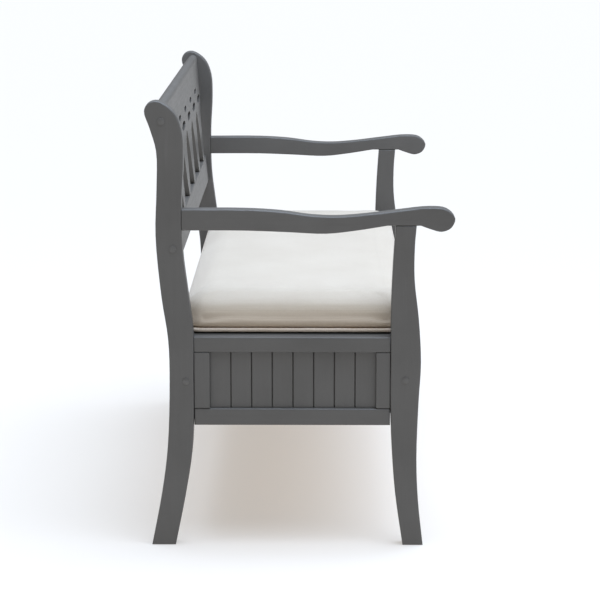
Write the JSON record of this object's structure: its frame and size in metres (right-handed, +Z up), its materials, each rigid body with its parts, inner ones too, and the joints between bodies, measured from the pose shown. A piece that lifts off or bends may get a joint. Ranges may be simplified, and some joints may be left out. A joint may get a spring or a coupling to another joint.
{
  "type": "storage bench",
  "caption": "Storage bench with scrolled arms and posts, grooved box panels, a pierced slatted back and a hinged upholstered seat lid.",
  "frame": {"origin": "on the floor, at the middle of the bench's length and depth", "axes": "+X along the length of the bench, -Y is the front, +Z up; left is the -X end"},
  "size_m": [1.2246, 0.597, 0.8801],
  "materials": {
    "grey_paint": "satin grey paint over wood",
    "cushion_fabric": "ivory plain-weave upholstery fabric",
    "piping_fabric": "ivory piping cord in matching fabric",
    "plywood": "raw birch plywood",
    "hinge_steel": "zinc-plated steel",
    "bumper_rubber": "matte black rubber"
  },
  "bodies": {
    "frame": {"arm_left": "grey_paint", "arm_right": "grey_paint", "back_crest_rail": "grey_paint", "back_lower_rail": "grey_paint", "back_panel": "grey_paint", "back_slat_1": "grey_paint", "back_slat_2": "grey_paint", "back_slat_3": "grey_paint", "back_slat_4": "grey_paint", "back_slat_5": "grey_paint", "back_slat_6": "grey_paint", "bolt_cap_box_front_left": "grey_paint", "bolt_cap_box_front_right": "grey_paint", "bolt_cap_box_rear_left": "grey_paint", "bolt_cap_box_rear_right": "grey_paint", "bolt_cap_crest_left": "grey_paint", "bolt_cap_crest_right": "grey_paint", "bolt_cap_lower_rail_left": "grey_paint", "bolt_cap_lower_rail_right": "grey_paint", "end_beadboard_left": "grey_paint", "end_beadboard_right": "grey_paint", "end_bottom_rail_left": "grey_paint", "end_bottom_rail_right": "grey_paint", "end_stile_front_left": "grey_paint", "end_stile_front_right": "grey_paint", "end_stile_rear_left": "grey_paint", "end_stile_rear_right": "grey_paint", "end_top_rail_left": "grey_paint", "end_top_rail_right": "grey_paint", "floor_cleat_front": "plywood", "floor_cleat_rear": "plywood", "floor_panel": "plywood", "front_beadboard_left": "grey_paint", "front_beadboard_right": "grey_paint", "front_bottom_rail": "grey_paint", "front_post_left": "grey_paint", "front_post_right": "grey_paint", "front_stile_left": "grey_paint", "front_stile_middle": "grey_paint", "front_stile_right": "grey_paint", "front_top_rail": "grey_paint", "hinge_frame_leaf_1": "hinge_steel", "hinge_frame_leaf_2": "hinge_steel", "hinge_frame_leaf_3": "hinge_steel", "hinge_pin_1": "hinge_steel", "hinge_pin_2": "hinge_steel", "hinge_pin_3": "hinge_steel", "lid_rest_left": "grey_paint", "lid_rest_right": "grey_paint", "rear_post_left": "grey_paint", "rear_post_right": "grey_paint"},
    "lid": {"hinge_lid_leaf_1": "hinge_steel", "hinge_lid_leaf_2": "hinge_steel", "hinge_lid_leaf_3": "hinge_steel", "lid_board": "plywood", "lid_bumper_left": "bumper_rubber", "lid_bumper_right": "bumper_rubber", "seat_cushion": "cushion_fabric", "seat_piping": "piping_fabric"}
  },
  "joints": [
    {"name": "lid_hinge", "type": "hinge", "parent": "frame", "child": "lid", "pos_m": [0, 0.238, 0.42125], "axis": [-1, 0, 0], "range_deg": [0, 50]}
  ]
}
